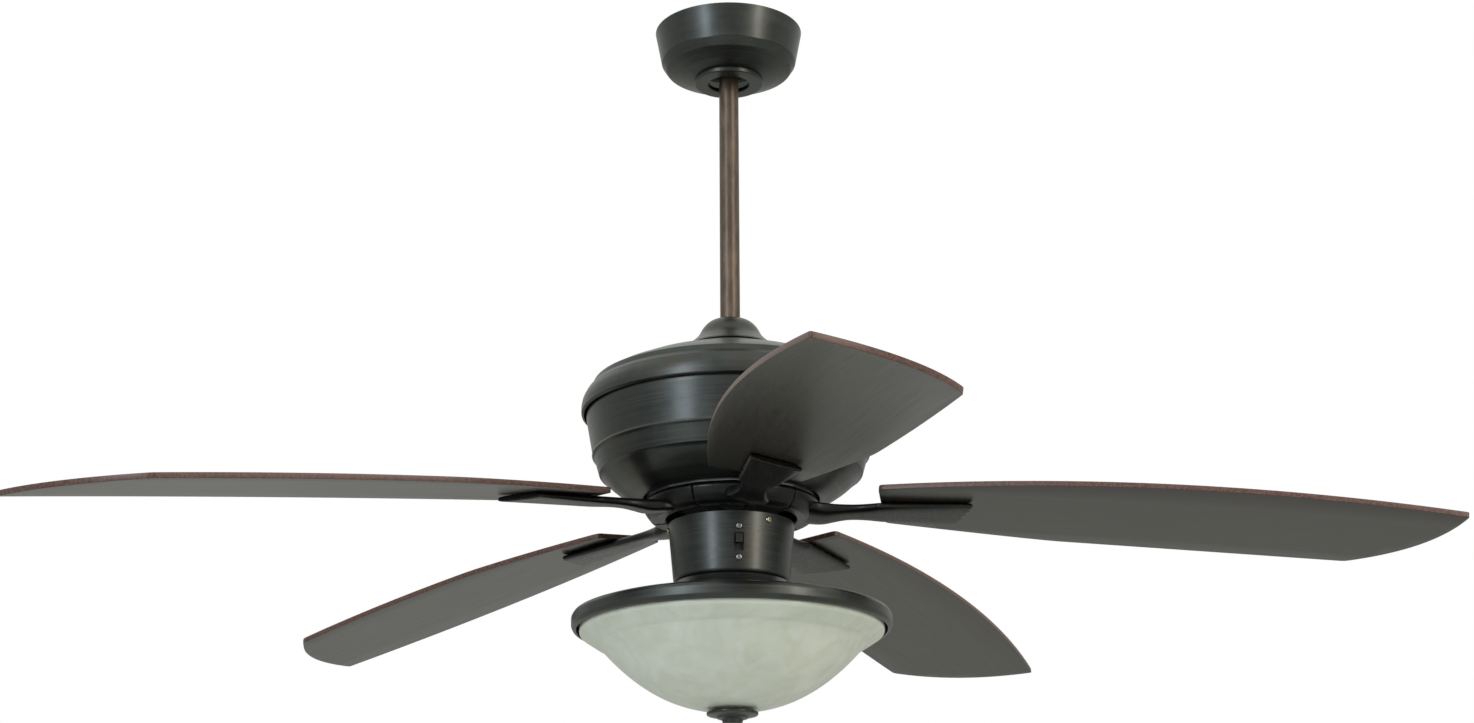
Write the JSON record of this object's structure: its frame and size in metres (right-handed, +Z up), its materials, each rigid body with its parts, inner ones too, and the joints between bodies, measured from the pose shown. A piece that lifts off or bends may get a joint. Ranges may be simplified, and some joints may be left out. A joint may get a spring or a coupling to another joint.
{
  "type": "ceiling fan with light",
  "caption": "Hanging ceiling fan: canopy, downrod, bell-shaped motor housing, drooping flared blades on cast irons, and a stepped glass light bowl with a finial.",
  "frame": {"origin": "on the ceiling plane, on the fan's axis: the centre of the hanger bracket's top face", "axes": "+Z up into the ceiling, along the fan's axis; +X and +Y level; -Y is the side that the reversing switch faces"},
  "size_m": [1.2521, 1.2271, 0.6896],
  "materials": {
    "oil_rubbed_bronze": "near-black satin bronze with fine turned brushing and reddish worn edges",
    "brown_bronze_tube": "mottled brown bronze lacquer",
    "dark_walnut_blade": "dark walnut veneer, satin",
    "alabaster_glass": "milky alabaster glass, faint swirls",
    "zinc_steel": "zinc plated",
    "brass_screw": "antique brass",
    "cast_aluminium": "as cast",
    "silicon_steel": "stacked laminations",
    "enamelled_copper": "enamelled winding wire",
    "black_nylon": "moulded",
    "rubber_washer": "clear soft washer",
    "porcelain": "glazed porcelain",
    "lamp_glass": "frosted lamp glass",
    "wire_sleeve": "black fibre sleeve"
  },
  "bodies": {
    "ceiling_end": {"hanger_bracket": "zinc_steel", "canopy": "oil_rubbed_bronze", "canopy_screw_cover": "oil_rubbed_bronze", "canopy_screw_1": "zinc_steel", "canopy_screw_2": "zinc_steel"},
    "fan_body": {"ball_cross_pin": "zinc_steel", "capacitor": "black_nylon", "centre_rod": "zinc_steel", "clevis_pin": "zinc_steel", "coupling_cover": "oil_rubbed_bronze", "downrod": "brown_bronze_tube", "fitter_pan": "oil_rubbed_bronze", "hanger_ball": "black_nylon", "housing_screw_1": "brass_screw", "housing_screw_2": "brass_screw", "housing_screw_3": "brass_screw", "lamp_1": "lamp_glass", "lamp_2": "lamp_glass", "lamp_socket_1": "porcelain", "lamp_socket_2": "porcelain", "lead_wires": "wire_sleeve", "motor_lower_housing": "oil_rubbed_bronze", "motor_upper_housing": "oil_rubbed_bronze", "reverse_switch_body": "black_nylon", "rod_nut_lower": "zinc_steel", "rod_nut_upper": "zinc_steel", "shaft_nut": "zinc_steel", "socket_bracket": "zinc_steel", "stator_core": "silicon_steel", "stator_shaft": "zinc_steel", "switch_housing": "oil_rubbed_bronze", "switch_plate": "zinc_steel", "switch_screw_1": "zinc_steel", "switch_screw_2": "zinc_steel", "winding_lower": "enamelled_copper", "winding_upper": "enamelled_copper", "yoke": "zinc_steel", "yoke_set_screw_1": "zinc_steel", "yoke_set_screw_2": "zinc_steel"},
    "rotor": {"rotor_upper_shell": "cast_aluminium", "rotor_ring": "silicon_steel", "rotor_lower_shell": "cast_aluminium", "bearing_upper": "zinc_steel", "bearing_lower": "zinc_steel", "blade_iron_1": "oil_rubbed_bronze", "blade_iron_2": "oil_rubbed_bronze", "blade_iron_3": "oil_rubbed_bronze", "blade_iron_4": "oil_rubbed_bronze", "blade_iron_5": "oil_rubbed_bronze", "blade_1": "dark_walnut_blade", "blade_2": "dark_walnut_blade", "blade_3": "dark_walnut_blade", "blade_4": "dark_walnut_blade", "blade_5": "dark_walnut_blade"},
    "switch_knob": {"reverse_switch_slider": "black_nylon"},
    "glass": {"glass_bowl": "alabaster_glass"},
    "finial": {"glass_washer": "rubber_washer", "finial": "oil_rubbed_bronze"}
  },
  "joints": [
    {"name": "hanger_tilt", "type": "hinge", "parent": "ceiling_end", "child": "fan_body", "pos_m": [0, 0, -0.026], "axis": [0, 1, 0], "range_deg": [-15, 15]},
    {"name": "blade_spin", "type": "hinge", "parent": "fan_body", "child": "rotor", "pos_m": [0, 0, -0.4719], "axis": [0, 0, 1], "continuous": true},
    {"name": "reverse_switch_slide", "type": "slide", "parent": "fan_body", "child": "switch_knob", "axis": [-0.0109, 0.0891, -0.996], "range_m": [0, 0.006]},
    {"name": "bowl_lower", "type": "slide", "parent": "fan_body", "child": "glass", "axis": [0, 0, -1], "range_m": [0, 0.00658]},
    {"name": "finial_turn", "type": "hinge", "parent": "glass", "child": "finial", "pos_m": [0, 0, -0.6778], "axis": [0, 0, -1], "range_deg": [0, 2521]}
  ],
  "couplings": [
    {"joint": "finial_turn", "follows": "bowl_lower", "rad_per_m": 6684.2}
  ]
}
